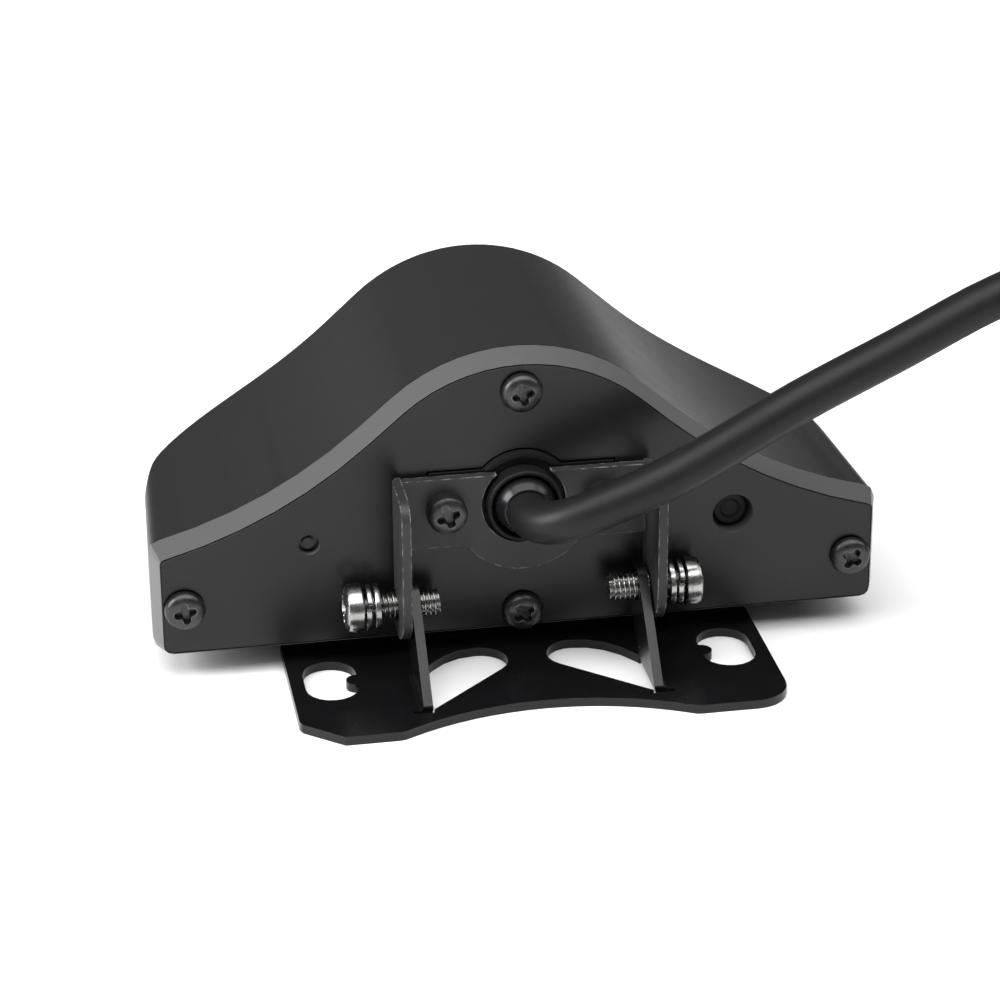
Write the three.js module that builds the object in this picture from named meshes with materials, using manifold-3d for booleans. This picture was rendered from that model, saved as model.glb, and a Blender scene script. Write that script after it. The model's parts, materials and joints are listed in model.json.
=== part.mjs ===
// Backup camera for trucks and trailers: a bell-shaped hooded housing on a tilting bracket,
// with its lens facing -Y and its cable leaving the rear cover. Millimetres, +Z up.
// The origin is on the underside of the mounting base, midway between its two screw holes.
import * as THREE from 'three';
import { mergeVertices } from 'three/addons/utils/BufferGeometryUtils.js';
import Module from 'manifold-3d';

const wasm = await Module();
wasm.setup();

// ---- driving dimensions -------------------------------------------------------------------
const GAP = 0.3;                  // clearance left between pieces that touch
const PLATE = 1.3;                // thickness of the sheet metal

const BACK = -5.9;                // Y of the rear cover's outer face
const FLOOR_GAP = 3.3;            // Z of the housing's underside

const HALF_WIDTH = 51.7;          // bell profile: half its width
const CREST_HEIGHT = 41.95;       //   crest above the housing's underside
const CREST_RADIUS = 26.6;        //   radius of the crest
const SLOPE_ANGLE = 0.709;        //   steepest angle of the shoulders, in radians
const SLOPE_LENGTH = 6.3;         //   straight run at that angle
const WING_RADIUS = 69.3;         //   radius of the hollow sweep out to the wings
const HOOD_DEPTH = 45.4;          // rear face to the hood's front edge, on the centreline
const HOOD_SWEEP = 19;            // how far that edge is swept back at the wings
const HOOD_TAPER = 0.05;          // how much each side draws in for every mm forwards
const HOOD_CORNER = [[48.2, 32.6], [49.4, 29.2], [50.4, 24.5], [51.2, 20]];   // x, reach of its rounded ends
const WALL = 2.6;                 // housing wall
const FACE_DEPTH = 27;            // rear face to the front wall's outer side
const FACE_THICKNESS = 4.4;       // front wall

const COVER_THICKNESS = 4.1;
const COVER_BEVEL = { wide: 1.2, deep: 3.5 };
const RIM_LINE = { width: 0.25, depth: 0.3 };     // fine groove between that bevel and the rear face
const COVER_SCREWS = [            // name, x, z above the underside, turn of the cross recess
  ['top', 0, 36.8, 0.25], ['bottom', 0, 3.65, 0.6], ['left', 47.4, 8, 0.2], ['right', -47.4, 8, 0.95],
];
const COVER_SCREW = { head: 2.8, headHeight: 1.9, shank: 1.45, length: 12 };

const GLAND_Z = 20.8;             // gland centre above the housing's underside
const GLAND_REACH = 4.6;          // rear face to the end of the strain relief
const BRACKET_SCREW_X = 11;

const BRACKET_HALF = 18.4;        // swivel bracket: outer faces of its two ears
const BRACKET_TOP = 25.3;
const BRACKET_BOTTOM = 15;
const BRACKET_FACE = 1.75;        //   rear face of its plate, behind the rear cover
const HINGE_Y = BACK + 3.7;
const HINGE_Z = FLOOR_GAP + 7.8;
const HINGE_HOLE = 2.3;

const BASE = { halfX: 33.8, front: -16.6, rear: 16.7, waist: 11.2, corner: 5, footX: 19.4 };
const BASE_HOLE = { x: 28.1, halfX: 3.7, halfY: 5.8, bump: 1.5 };
const TAB_X = 15.4;               // inner faces of the two ears folded up from the base
const TAB = { foot: 11.1, toe: 0.9, head: 3.2, reach: 8.6, kerf: 0.8 };

const CLAMP = { shank: 1.95, head: 3.4, headHeight: 2.6, washer: 3.2, bore: 2.3, length: 10.8 };
const CLAMP_SEAT = { left: 20.8, right: 19.9 };   // inner face of each flat washer

const CABLE = 3;                  // cable radius
const COIL = { x: -122, y: -35.5, middle: 32, band: 6.2 };
const PLUG_X = COIL.x - COIL.middle - COIL.band - GAP - 5.6;

// ---- small helpers ------------------------------------------------------------------------
function toSolid(geometry) {
  const bare = geometry.clone();
  bare.deleteAttribute('normal');
  bare.deleteAttribute('uv');
  const merged = mergeVertices(bare, 1e-4);
  const mesh = new wasm.Mesh({
    numProp: 3,
    vertProperties: new Float32Array(merged.attributes.position.array),
    triVerts: new Uint32Array(merged.index.array),
  });
  mesh.merge();
  return new wasm.Manifold(mesh);
}

function toGeometry(solid) {
  const mesh = solid.getMesh();
  const geometry = new THREE.BufferGeometry();
  geometry.setAttribute('position', new THREE.BufferAttribute(mesh.vertProperties, 3));
  geometry.setIndex(new THREE.BufferAttribute(mesh.triVerts, 1));
  geometry.computeVertexNormals();
  return geometry;
}

function joined(...geometries) {
  return geometries.map(toSolid).reduce((sum, solid) => sum.add(solid));
}

function arc(cx, cy, radius, from, to, steps) {
  const points = [];
  for (let i = 0; i <= steps; i += 1) {
    const angle = from + (to - from) * i / steps;
    points.push(new THREE.Vector2(cx + radius * Math.cos(angle), cy + radius * Math.sin(angle)));
  }
  return points;
}

function points(...pairs) {
  return pairs.map(([x, y]) => new THREE.Vector2(x, y));
}

function extrude(outline, depth, options = {}) {
  const settings = { depth, bevelEnabled: false, ...options };
  return new THREE.ExtrudeGeometry(new THREE.Shape(outline), settings);
}

function alongY(outline, near, far) {   // outline in (x, z), filled from Y = near towards -Y
  return extrude(outline, near - far).rotateX(Math.PI / 2).translate(0, near, 0);
}

const YZ_PLANE = new THREE.Matrix4().makeBasis(
  new THREE.Vector3(0, 1, 0), new THREE.Vector3(0, 0, 1), new THREE.Vector3(1, 0, 0));

function alongX(outline, from, to) {    // outline in (y, z), filled from X = from to X = to
  return extrude(outline, to - from).applyMatrix4(YZ_PLANE).translate(from, 0, 0);
}

function alongZ(outline, from, to) {
  return extrude(outline, to - from).translate(0, 0, from);
}

function rodY(x, z, radius, near, far, sides = 24) {
  const rod = new THREE.CylinderGeometry(radius, radius, near - far, sides);
  return rod.translate(x, (near + far) / 2, z);
}

function rodX(y, z, radius, from, to, sides = 24) {
  const rod = new THREE.CylinderGeometry(radius, radius, to - from, sides).rotateZ(Math.PI / 2);
  return rod.translate((from + to) / 2, y, z);
}

function block(x0, x1, y0, y1, z0, z1) {
  const box = new THREE.BoxGeometry(x1 - x0, y1 - y0, z1 - z0);
  return box.translate((x0 + x1) / 2, (y0 + y1) / 2, (z0 + z1) / 2);
}

// (radius, height) pairs turned about +Y, in whichever order leaves the faces outward
function turned(profile, sides = 28) {
  const outline = points(...profile);
  if (THREE.ShapeUtils.area(outline) < 0) outline.reverse();
  return new THREE.LatheGeometry(outline, sides);
}

// ---- materials and the assembly -----------------------------------------------------------
function finish(color, roughness, metalness) {
  return new THREE.MeshStandardMaterial({ color, roughness, metalness });
}

const looks = {
  housing: finish(0x3a3a3c, 0.5, 0.1),
  cover: finish(0x343436, 0.55, 0.1),
  bracket: finish(0x2e2e30, 0.55, 0.2),
  base: finish(0x17171a, 0.5, 0.2),
  steel: finish(0x9a9a9a, 0.35, 0.9),
  darkScrew: finish(0x26262a, 0.4, 0.7),
  rubber: finish(0x161616, 0.8, 0),
  cable: finish(0x2c2c2e, 0.55, 0),
  board: finish(0x1f5a33, 0.6, 0),
  chip: finish(0x202024, 0.4, 0),
  glass: finish(0x9fb4c4, 0.08, 0),
  led: finish(0xd8d6e4, 0.2, 0),
  brass: finish(0xb08d45, 0.35, 0.9),
};

const camera = new THREE.Group();

function addPiece(name, shape, look) {
  const geometry = shape instanceof THREE.BufferGeometry ? shape : toGeometry(shape);
  const mesh = new THREE.Mesh(geometry, looks[look]);
  mesh.name = name;
  camera.add(mesh);
  return mesh;
}

// ---- the bell profile ---------------------------------------------------------------------
// One half, in (x, z above the underside), offset inwards by `inset`: crest arc, straight
// shoulder, hollow sweep, wing corner, side and rounded lower corner.
function bellHalf(inset, bottom = inset) {
  const crestZ = CREST_HEIGHT - CREST_RADIUS;
  const sin = Math.sin(SLOPE_ANGLE);
  const cos = Math.cos(SLOPE_ANGLE);
  const quarter = Math.PI / 2;
  const crest = arc(0, crestZ, CREST_RADIUS - inset, quarter, quarter - SLOPE_ANGLE, 7);
  const sweepX = CREST_RADIUS * sin + SLOPE_LENGTH * cos + WING_RADIUS * sin;
  const sweepZ = crestZ + CREST_RADIUS * cos - SLOPE_LENGTH * sin + WING_RADIUS * cos;
  const radius = WING_RADIUS + inset;
  const side = HALF_WIDTH - inset;
  const round = Math.max(1.5 - inset / 2, 0.4);
  const endAngle = Math.acos((side - round - sweepX) / radius);
  const sweep = arc(sweepX, sweepZ, radius, -quarter - SLOPE_ANGLE, -endAngle, 6);
  const end = sweep[sweep.length - 1];
  const wing = points([side - round * 0.3, end.y - round * 0.32], [side, end.y - round * 1.1]);
  const lower = Math.max(2.4 - inset, 0.4);
  const foot = arc(side - lower, bottom + lower, lower, 0, -quarter, 3);
  return crest.concat(sweep, wing, foot);
}

function bell(inset, bottom) {
  const half = bellHalf(inset, bottom);
  const other = half.slice(1).reverse().map((p) => new THREE.Vector2(-p.x, p.y));
  const outline = half.concat(other);
  return outline.map((p) => new THREE.Vector2(p.x, p.y + FLOOR_GAP));
}

const up = (z) => z + FLOOR_GAP;        // heights measured from the housing's underside

// ---- main housing with its hood ------------------------------------------------------------
const HOUSING_REAR = BACK - COVER_THICKNESS - 0.35;
const FACE = BACK - FACE_DEPTH;
const FACE_INSIDE = FACE + FACE_THICKNESS;
const LENS_Z = up(19);
const LED_Z = up(9);
const LED_SLOT = { inner: 13.5, outer: 44.5, halfHeight: 3.2 };
const BOARD_POSTS = [[10.8, 10.6], [10.8, 28.4]];
const IR_POSTS = [[20, 13.7], [37.4, 13.7]];
const IR_BOARD_REAR = BACK - 17.2;
const SENSOR_BOARD_REAR = BACK - 12.5;
const BOARD = 1.6;

// Half of the hood's outline from above: its swept front edge, rounded end and side.
function hoodPlan() {
  const half = [];
  for (let x = 0; x <= 46; x += 4.6) {
    half.push(new THREE.Vector2(x, BACK - HOOD_DEPTH + HOOD_SWEEP * (x / HALF_WIDTH) ** 6));
  }
  const end = HOOD_CORNER.map(([x, reach]) => new THREE.Vector2(x, BACK - reach));
  const side = points([HALF_WIDTH + 0.5, HOUSING_REAR - 9], [HALF_WIDTH + 0.5, HOUSING_REAR]);
  const outline = half.concat(end, side);
  const other = outline.slice(1).reverse().map((p) => new THREE.Vector2(-p.x, p.y));
  return outline.concat(other);
}

// The bell's full depth, drawing in at its sides towards the front.
function taperedBell() {
  const front = BACK - 50;
  const blank = alongY(bell(0), HOUSING_REAR, front);
  const drawn = 1 - HOOD_TAPER * (HOUSING_REAR - front) / HALF_WIDTH;
  const place = blank.attributes.position;
  for (let i = 0; i < place.count; i += 1) {
    if (place.getY(i) < front + 1) place.setX(i, place.getX(i) * drawn);
  }
  return blank;
}

function ledSlot(sign, near, far) {
  const { inner, outer, halfHeight } = LED_SLOT;
  const right = arc(outer - halfHeight, LED_Z, halfHeight, -Math.PI / 2, Math.PI / 2, 8);
  const left = arc(inner + halfHeight, LED_Z, halfHeight, Math.PI / 2, 3 * Math.PI / 2, 8);
  const outline = right.concat(left).map((p) => new THREE.Vector2(sign * p.x, p.y));
  return alongY(outline, near, far);
}

function mainHousing() {
  const plan = alongZ(hoodPlan(), -1, 60);
  let solid = toSolid(taperedBell()).intersect(toSolid(plan));
  solid = solid.subtract(toSolid(alongY(bell(WALL), HOUSING_REAR + 1, FACE_INSIDE)));
  solid = solid.subtract(toSolid(alongY(bell(WALL, -9), FACE, BACK - 60)));
  for (const [, x, z] of COVER_SCREWS) {
    const boss = rodY(x, up(z), 3.6, HOUSING_REAR, BACK - 19);
    const inside = toSolid(boss).intersect(toSolid(alongY(bell(0.5), BACK, BACK - 20)));
    solid = solid.add(inside);
  }
  for (const sign of [1, -1]) {
    for (const [x, z] of BOARD_POSTS) {
      const tip = SENSOR_BOARD_REAR - BOARD - GAP;
      solid = solid.add(toSolid(rodY(sign * x, up(z), 1.8, tip, FACE_INSIDE - 0.5, 12)));
    }
    for (const [x, z] of IR_POSTS) {
      const tip = IR_BOARD_REAR - BOARD - GAP;
      solid = solid.add(toSolid(rodY(sign * x, up(z), 1.2, tip, FACE_INSIDE - 0.5, 12)));
    }
    solid = solid.subtract(toSolid(ledSlot(sign, FACE_INSIDE + 1, FACE - 1)));
  }
  solid = solid.subtract(toSolid(rodY(0, LENS_Z, 8, FACE_INSIDE + 1, FACE - 1, 32)));
  solid = solid.subtract(toSolid(alongY(bell(5.2), FACE + 2.4, FACE - 1)));
  for (const [, x, z] of COVER_SCREWS) {
    solid = solid.subtract(toSolid(rodY(x, up(z), 1.8, HOUSING_REAR + 1, BACK - 14, 16)));
  }
  const groove = toSolid(alongY(bell(0.6), HOUSING_REAR + 1, HOUSING_REAR - 1));
  const core = toSolid(alongY(bell(1.7), HOUSING_REAR + 2, HOUSING_REAR - 2));
  return solid.subtract(groove.subtract(core));
}

// ---- rear cover ---------------------------------------------------------------------------
function rearCover() {
  const depth = 12;
  const blank = extrude(bell(0), depth, {
    bevelEnabled: true, bevelThickness: COVER_BEVEL.deep, bevelSize: COVER_BEVEL.wide,
    bevelOffset: -COVER_BEVEL.wide, bevelSegments: 1,
  });
  blank.rotateX(Math.PI / 2).translate(0, BACK - COVER_BEVEL.deep, 0);
  const keep = block(-60, 60, BACK - COVER_THICKNESS, BACK + 1, -1, 60);
  const line = toSolid(alongY(bell(COVER_BEVEL.wide), BACK + 1, BACK - RIM_LINE.depth));
  const island = toSolid(alongY(bell(COVER_BEVEL.wide + RIM_LINE.width), BACK + 2, BACK - 2));
  let solid = toSolid(blank).intersect(toSolid(keep)).subtract(line.subtract(island));
  for (const sign of [1, -1]) {
    solid = solid.add(toSolid(rodY(sign * BRACKET_SCREW_X, up(GLAND_Z), 3.2, BACK - 2, BACK - 7.6, 20)));
    solid = solid.subtract(toSolid(rodY(sign * BRACKET_SCREW_X, up(GLAND_Z), 1.8, BACK + 1, BACK - 6.6, 16)));
  }
  for (const [, x, z] of COVER_SCREWS) {
    solid = solid.subtract(toSolid(rodY(x, up(z), 1.8, BACK + 1, BACK - 6, 16)));
    solid = solid.subtract(toSolid(rodY(x, up(z), 3, BACK + 1, BACK - 0.4, 28)));
  }
  solid = solid.subtract(toSolid(rodY(0, up(GLAND_Z), 4.2, BACK + 1, BACK - 9, 28)));
  solid = solid.subtract(toSolid(alongY(gasketOutline(GAP), BACK + 1, BACK - 0.6)));
  solid = solid.subtract(toSolid(rodY(-30.2, up(15.8), 2.95, BACK + 1, BACK - 3.2, 32)));
  const pocket = toSolid(rodY(29.8, up(16.2), 1.5, BACK + 1, BACK - 1.2, 20));
  const nub = toSolid(rodY(29.95, up(16.35), 0.8, BACK - 0.35, BACK - 2, 14));
  return solid.subtract(pocket).add(nub);
}

function coverGasket() {
  const ring = toSolid(alongY(bell(0.8), HOUSING_REAR + 0.15, HOUSING_REAR - 0.8));
  return ring.subtract(toSolid(alongY(bell(1.5), HOUSING_REAR + 1, HOUSING_REAR - 1)));
}

function ventPlug() {
  const profile = [[0, -3], [2.6, -3], [2.6, -2.2], [2.1, -1.9], [1.5, -1.9], [1.2, -2.2], [0, -2.2]];
  return turned(profile, 24).translate(-30.2, BACK + 0.1, up(15.8));
}

// ---- screws with a cross recess --------------------------------------------------------------
function crossRecess(width, depth, top) {
  const half = width * 0.27;
  const arm = block(-width, width, top - depth, top + 1, -half, half);
  const other = block(-half, half, top - depth, top + 1, -width, width);
  const heart = new THREE.ConeGeometry(width * 0.62, depth * 1.4, 8).rotateX(Math.PI);
  heart.translate(0, top - depth * 0.7, 0);
  return joined(arm, other, heart);
}

function panScrew({ head, headHeight, shank, length }) {   // head up +Y, seat at Y = 0
  const profile = [
    [0, -length], [shank * 0.6, -length], [shank, -length + 0.7], [shank, 0], [head - 0.15, 0],
    [head, 0.25], [head, headHeight * 0.45], [head - 0.3, headHeight * 0.75],
    [head * 0.66, headHeight * 0.95], [0, headHeight],
  ];
  return toSolid(turned(profile, 18)).subtract(crossRecess(head * 0.7, headHeight * 0.62, headHeight));
}

function addCoverScrews() {
  for (const [name, x, z, turn] of COVER_SCREWS) {
    const screw = addPiece(`cover_screw_${name}`, panScrew(COVER_SCREW), 'darkScrew');
    screw.rotation.y = turn;
    screw.position.set(x, BACK - 0.1, up(z));
  }
}

// ---- gland, bracket gasket and swivel bracket -------------------------------------------------
function gasketOutline(grow) {
  const half = 13 + grow;
  const ring = 7.3 + grow;
  const top = up(25.6) + grow;
  const low = up(15.9) - grow;
  const centre = up(GLAND_Z);
  const reach = Math.asin((top - centre) / ring);
  const lowReach = Math.asin((low - centre) / ring);
  const arch = arc(0, centre, ring, reach, Math.PI - reach, 12);
  const under = arc(0, centre, ring, -Math.PI - lowReach, lowReach, 12);
  return arch.concat(points([-half, top], [-half, low]), under, points([half, low], [half, top]));
}

function bracketGasket() {
  const pad = toSolid(alongY(gasketOutline(0), BACK + 0.15, BACK - 0.3));
  const lip = toSolid(rodY(0, up(GLAND_Z), 7.1, BACK + 0.7, BACK, 40));
  const hollow = toSolid(rodY(0, up(GLAND_Z), 6.4, BACK + 2, BACK - 0.05, 40));
  const above = toSolid(block(-9, 9, BACK - 1, BACK + 2, up(BRACKET_TOP + GAP), up(40)));
  let solid = pad.add(lip.subtract(hollow).intersect(above));
  solid = solid.subtract(toSolid(rodY(0, up(GLAND_Z), 4.5, BACK + 1, BACK - 1, 28)));
  for (const sign of [1, -1]) {
    solid = solid.subtract(toSolid(rodY(sign * BRACKET_SCREW_X, up(GLAND_Z), 1.8, BACK + 1, BACK - 1, 16)));
  }
  return solid;
}

function glandCollar() {
  const profile = [[4.65, 0.45], [5.3, 0.45], [5.3, 2.9], [5.1, 3.1], [4.75, 3.1], [4.65, 2.9], [4.65, 0.45]];
  return turned(profile, 24).translate(0, BACK, up(GLAND_Z));
}

function strainRelief() {
  const profile = [
    [0, -7.4], [2.2, -7.4], [2.2, -3.4], [3.9, -3.4], [3.9, 0.2], [4.3, 0.6], [4.3, 2.3], [4.15, 3.1],
    [3.8, 3.85], [3.3, GLAND_REACH - 0.2], [3.15, GLAND_REACH], [0, GLAND_REACH],
  ];
  return turned(profile, 24).translate(0, BACK, up(GLAND_Z));
}

function glandNut() {
  const hexagon = arc(0, up(GLAND_Z), 5.4, 0, 2 * Math.PI * 5 / 6, 5);
  const nut = toSolid(alongY(hexagon, BACK - COVER_THICKNESS - GAP, BACK - 7.1));
  return nut.subtract(toSolid(rodY(0, up(GLAND_Z), 2.5, BACK, BACK - 9)));
}

function earOutline() {
  const rear = BACK + 10.8;
  const front = BACK + 0.5;
  const top = up(25.6);
  const round = 2.8;
  const toe = HINGE_Z - 3.6;
  const crown = arc(rear - round, top - round, round, Math.PI / 2, 0, 5);
  const heel = arc(HINGE_Y + 1.2, toe + 5.4, 5.9, -0.35, -Math.PI / 2, 6);
  const nose = arc(front + 3.2, toe - 0.5 + 3.2, 3.2, -Math.PI / 2, -Math.PI, 5);
  const outline = points([front, top]).concat(crown, points([rear, up(12.4)]), heel, nose);
  return outline;
}

function swivelBracket() {
  const inner = BRACKET_HALF - PLATE;
  const bend = 1.7;
  const plateRear = BACK + BRACKET_FACE;
  const plateFront = plateRear - PLATE;
  const waist = 7.6;
  const lobe = arc(0, up(GLAND_Z), 10, -0.86, -Math.PI / 2, 8);
  const bottom = up(BRACKET_BOTTOM);
  const half = points([0, up(BRACKET_TOP)], [BRACKET_HALF, up(BRACKET_TOP)], [BRACKET_HALF, bottom],
    [waist + 0.9, bottom], [waist + 0.1, bottom - 0.35]).concat(lobe);
  const other = half.slice(1, -1).reverse().map((p) => new THREE.Vector2(-p.x, p.y));
  let solid = toSolid(alongY(half.concat(other), plateRear, plateFront));
  const corner = (sign) => {        // rounds the fold between plate and ear
    const square = block(inner, BRACKET_HALF + 1, plateFront - 1, plateFront + bend, 0, 60);
    const round = new THREE.CylinderGeometry(bend, bend, 80, 24);
    round.rotateX(Math.PI / 2).translate(BRACKET_HALF - bend, plateFront + bend, 20);
    const edge = block(BRACKET_HALF - bend, BRACKET_HALF + 2, plateFront - 2, plateFront + bend, 0, 60);
    const cut = toSolid(square).intersect(toSolid(edge)).subtract(toSolid(round));
    return sign > 0 ? cut : cut.mirror([1, 0, 0]);
  };
  for (const sign of [1, -1]) {
    const [from, to] = sign > 0 ? [inner, BRACKET_HALF] : [-BRACKET_HALF, -inner];
    solid = solid.add(toSolid(alongX(earOutline(), from, to)));
    solid = solid.subtract(corner(sign));
    solid = solid.subtract(toSolid(rodY(sign * BRACKET_SCREW_X, up(GLAND_Z), 1.8, BACK + 4, BACK, 20)));
  }
  solid = solid.subtract(toSolid(rodX(HINGE_Y, HINGE_Z, HINGE_HOLE, -30, 30, 24)));
  solid = solid.subtract(toSolid(rodY(0, up(GLAND_Z), 5.9, BACK + 4, BACK, 36)));
  return solid;
}

function addBracketScrews() {
  const screw = { head: 2.8, headHeight: 2.7, shank: 1.45, length: 7.6 };
  for (const [name, sign, turn] of [['left', 1, 0.35], ['right', -1, 0.8]]) {
    const piece = addPiece(`bracket_screw_${name}`, panScrew(screw), 'darkScrew');
    piece.rotation.y = turn;
    piece.position.set(sign * BRACKET_SCREW_X, BACK + BRACKET_FACE + GAP, up(GLAND_Z));
  }
}

// ---- mounting base ------------------------------------------------------------------------
function baseOutline() {
  const { halfX, front, rear, waist, corner, footX } = BASE;
  const rise = rear - waist - 0.5;
  const radius = (footX * footX + rise * rise) / (2 * rise);
  const swing = Math.asin(footX / radius);
  const hollow = arc(0, waist + radius, radius, -Math.PI / 2, -Math.PI / 2 + swing, 8);
  const foot = points([footX + 0.7, rear - 0.12], [footX + 1.6, rear]);
  const rearCorner = arc(halfX - corner, rear - corner, corner, Math.PI / 2, 0, 6);
  const cropped = points([halfX - 5.6, rear], [halfX - 0.4, rear - 4.5], [halfX, rear - 5.5]);
  const frontCorner = arc(halfX - corner, front + corner, corner, 0, -Math.PI / 2, 6);
  const left = hollow.slice(1).concat(foot, cropped, frontCorner);
  const right = hollow.slice(1).concat(foot, rearCorner, frontCorner);
  const mirror = right.reverse().map((p) => new THREE.Vector2(-p.x, p.y));
  return left.concat(mirror, [hollow[0]]);
}

function baseHole(sign) {
  const { x, halfX, halfY, bump } = BASE_HOLE;
  const straight = halfY - halfX;
  const rear = arc(x, straight, halfX, 0, Math.PI, 10);
  const front = arc(x, -straight, halfX, Math.PI, 2 * Math.PI, 10);
  const slot = toSolid(alongZ(rear.concat(front), -1, 4));
  const tooth = new THREE.CylinderGeometry(bump, bump, 8, 16).rotateX(Math.PI / 2);
  const cut = slot.subtract(toSolid(tooth.translate(x - halfX + 0.1, 0.3, 1)));
  return sign > 0 ? cut : cut.mirror([1, 0, 0]);
}

// The outline of a folded ear in (y, distance from the fold): straight up from its foot, round
// its head, and down a curved flank to its toe.
function tabOutline(headAt, radius, foot, toe) {
  const span = Math.hypot(foot - HINGE_Y, headAt);
  const tangent = Math.atan2(-headAt, foot - HINGE_Y) + Math.acos(radius / span);
  const head = arc(HINGE_Y, headAt, radius, tangent, Math.PI, 9);
  const flank = new THREE.QuadraticBezierCurve(
    new THREE.Vector2(HINGE_Y - radius, headAt),
    new THREE.Vector2(HINGE_Y - radius, headAt * 0.42),
    new THREE.Vector2(toe, 0));
  return points([foot, 0]).concat(head, flank.getPoints(4).slice(1));
}

// The opening that the ear was folded up out of.
function windowCut(sign) {
  const { foot, toe, head, reach, kerf } = TAB;
  const outline = tabOutline(reach, head + kerf, foot, toe - kerf);
  const flat = outline.map((p) => new THREE.Vector2(TAB_X - p.y, p.x));
  const cut = toSolid(alongZ(flat, -1, 4));
  return sign > 0 ? cut : cut.mirror([1, 0, 0]);
}

function foldedEar(sign) {
  const { foot, toe, head } = TAB;
  const outline = tabOutline(HINGE_Z - PLATE, head, foot, toe);
  const raised = outline.map((p) => new THREE.Vector2(p.x, p.y + PLATE));
  const blade = toSolid(alongX(raised, TAB_X, TAB_X + PLATE));
  const fold = arc(TAB_X + 1.5, 1.5, 1.5, -Math.PI / 2, -Math.PI, 5)
    .concat(points([TAB_X, PLATE + 0.4], [TAB_X + PLATE, PLATE + 0.4]))
    .concat(points([TAB_X + PLATE + 1.2, PLATE - 0.4], [TAB_X + PLATE + 1.2, 0]));
  const ear = blade.add(toSolid(alongY(fold, foot, toe)));
  const drilled = ear.subtract(toSolid(rodX(HINGE_Y, HINGE_Z, HINGE_HOLE, 0, 30, 24)));
  return sign > 0 ? drilled : drilled.mirror([1, 0, 0]);
}

function mountingBase() {
  let solid = toSolid(alongZ(baseOutline(), 0, PLATE));
  for (const sign of [1, -1]) {
    solid = solid.subtract(baseHole(sign));
    solid = solid.subtract(windowCut(sign));
    const [near, far] = sign > 0 ? [TAB_X - 0.3, TAB_X + 2.9] : [-TAB_X - 2.9, -TAB_X + 0.3];
    solid = solid.subtract(toSolid(block(near, far, TAB.foot, TAB.foot + 0.8, -1, 4)));
    const seat = sign > 0 ? [TAB_X - 0.1, TAB_X + 1.5] : [-TAB_X - 1.5, -TAB_X + 0.1];
    solid = solid.subtract(toSolid(block(seat[0], seat[1], TAB.toe - 0.5, TAB.foot + 0.4, -1, 4)));
    solid = solid.add(foldedEar(sign));
  }
  return solid;
}

// ---- clamp screws, one through each pair of ears -----------------------------------------------
function washer(from, to, split) {
  const ring = toSolid(rodX(HINGE_Y, HINGE_Z, CLAMP.washer, from, to, 28))
    .subtract(toSolid(rodX(HINGE_Y, HINGE_Z, CLAMP.bore, from - 1, to + 1, 24)));
  if (!split) return ring;
  const slit = block(from - 1, to + 1, -0.3, 0.3, 0, 6).rotateX(0.5).translate(0, HINGE_Y, HINGE_Z);
  return ring.subtract(toSolid(slit));
}

function clampScrew() {                   // head up +Y, seat at Y = 0
  const { shank, head, headHeight, length } = CLAMP;
  const profile = [
    [0, -length], [shank * 0.7, -length], [shank, -length + 0.6], [shank, 0], [head - 0.1, 0],
    [head, 0.2], [head, headHeight * 0.62], [head * 0.9, headHeight * 0.86], [head * 0.62, headHeight],
    [0, headHeight],
  ];
  return toSolid(turned(profile, 20)).subtract(crossRecess(2, 1.5, headHeight));
}

function addClamps() {
  for (const [name, sign] of [['left', 1], ['right', -1]]) {
    const seat = CLAMP_SEAT[name];
    const flat = washer(seat, seat + 0.8, false);
    const spring = washer(seat + 0.8 + GAP, seat + 1.8 + GAP, true);
    const place = (solid) => (sign > 0 ? solid : solid.mirror([1, 0, 0]));
    addPiece(`flat_washer_${name}`, place(flat), 'steel');
    addPiece(`spring_washer_${name}`, place(spring), 'steel');
    const screw = addPiece(`clamp_screw_${name}`, clampScrew(), 'steel');
    screw.rotation.z = -sign * Math.PI / 2;
    screw.position.set(sign * (seat + 1.8 + 2 * GAP), HINGE_Y, HINGE_Z);
  }
}

// ---- front window, lens and electronics --------------------------------------------------------
function frontBezel() {
  const ring = toSolid(alongY(bell(WALL + GAP), FACE - GAP, FACE - 1.5));
  return ring.subtract(toSolid(alongY(bell(7.2), FACE + 1, FACE - 3)));
}

function frontWindow() {
  return alongY(bell(5.2 + GAP), FACE + 2.4 - GAP, FACE + 0.3);
}

function lensHolder() {
  const front = SENSOR_BOARD_REAR - BOARD - GAP;
  const base = joined(
    block(-8.6, 8.6, front - 3, front, LENS_Z - 8.6, LENS_Z + 8.6),
    rodY(0, LENS_Z, 7.6, front - 2, front - 4.8, 32));
  const bore = toSolid(rodY(0, LENS_Z, 6.4, front - 2, front - 9, 32));
  const chamber = toSolid(block(-5.5, 5.5, front - 2.2, front + 1, LENS_Z - 5.5, LENS_Z + 5.5));
  return base.subtract(bore).subtract(chamber);
}

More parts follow.
